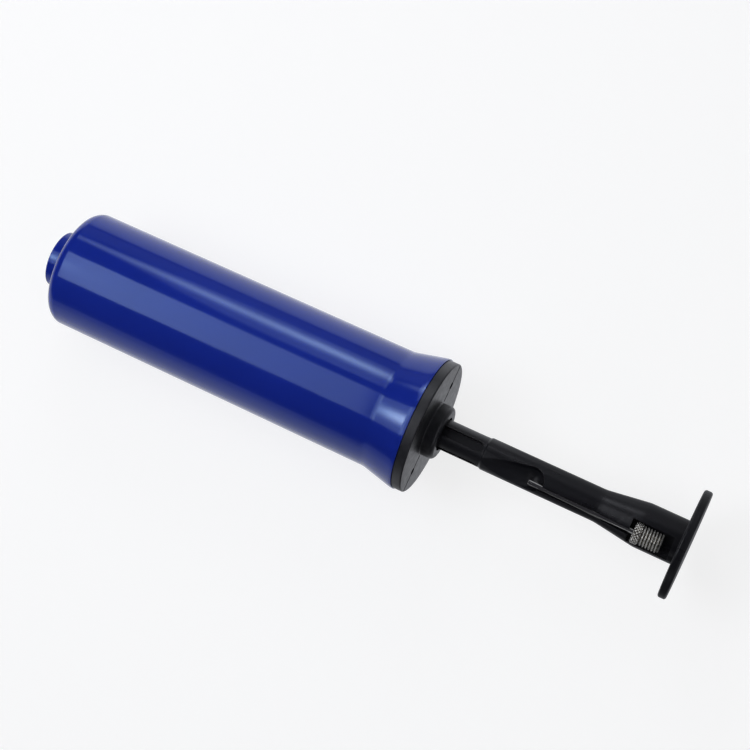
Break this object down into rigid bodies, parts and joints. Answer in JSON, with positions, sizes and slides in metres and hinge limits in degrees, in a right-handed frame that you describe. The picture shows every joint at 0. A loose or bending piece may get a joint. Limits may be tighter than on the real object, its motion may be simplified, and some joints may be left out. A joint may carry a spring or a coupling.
{
  "type": "ball inflation pump",
  "caption": "Hand pump for balls: a flared barrel with a threaded nozzle, a split end cap, and a push-disc plunger that stores a screw-in needle.",
  "frame": {"origin": "centre of the nozzle's mouth, on the nozzle face", "axes": "+X along the pump's axis, from the nozzle to the push disc; +Z is the side that the needle pocket opens to; the pump lies on its side"},
  "size_m": [0.2309, 0.0458, 0.0458],
  "materials": {
    "blue_plastic": "high gloss moulded",
    "black_cap_plastic": "satin, fine grain",
    "black_rod_plastic": "semi-gloss moulded",
    "black_rubber": "matte",
    "natural_plastic": "unpainted nylon",
    "nickel": "nickel plated, turned"
  },
  "bodies": {
    "barrel": {"barrel": "blue_plastic", "nozzle_gasket": "black_rubber", "valve_seat": "natural_plastic", "cap_upper_half": "black_cap_plastic", "cap_lower_half": "black_cap_plastic"},
    "valve": {"valve_disc": "black_rubber"},
    "piston": {"piston_head": "black_rod_plastic"},
    "piston_ring": {"piston_o_ring": "black_rubber"},
    "plunger": {"plunger": "black_rod_plastic"},
    "needle": {"needle_tube": "nickel", "needle_base": "nickel"}
  },
  "joints": [
    {"name": "plunger_stroke", "type": "slide", "parent": "barrel", "child": "piston", "axis": [1, 0, 0], "range_m": [-0.055, 0.049]},
    {"name": "plunger_spin", "type": "hinge", "parent": "piston", "child": "plunger", "pos_m": [0.076, 0, 0], "axis": [1, 0, 0], "continuous": true},
    {"name": "needle_lift", "type": "slide", "parent": "plunger", "child": "needle", "axis": [0, -0.4226, 0.9063], "range_m": [0, 0.012]},
    {"name": "ring_float", "type": "slide", "parent": "piston", "child": "piston_ring", "axis": [1, 0, 0], "range_m": [-0.0008, 0]},
    {"name": "valve_lift", "type": "slide", "parent": "barrel", "child": "valve", "axis": [1, 0, 0], "range_m": [-0.0009, 0]}
  ]
}
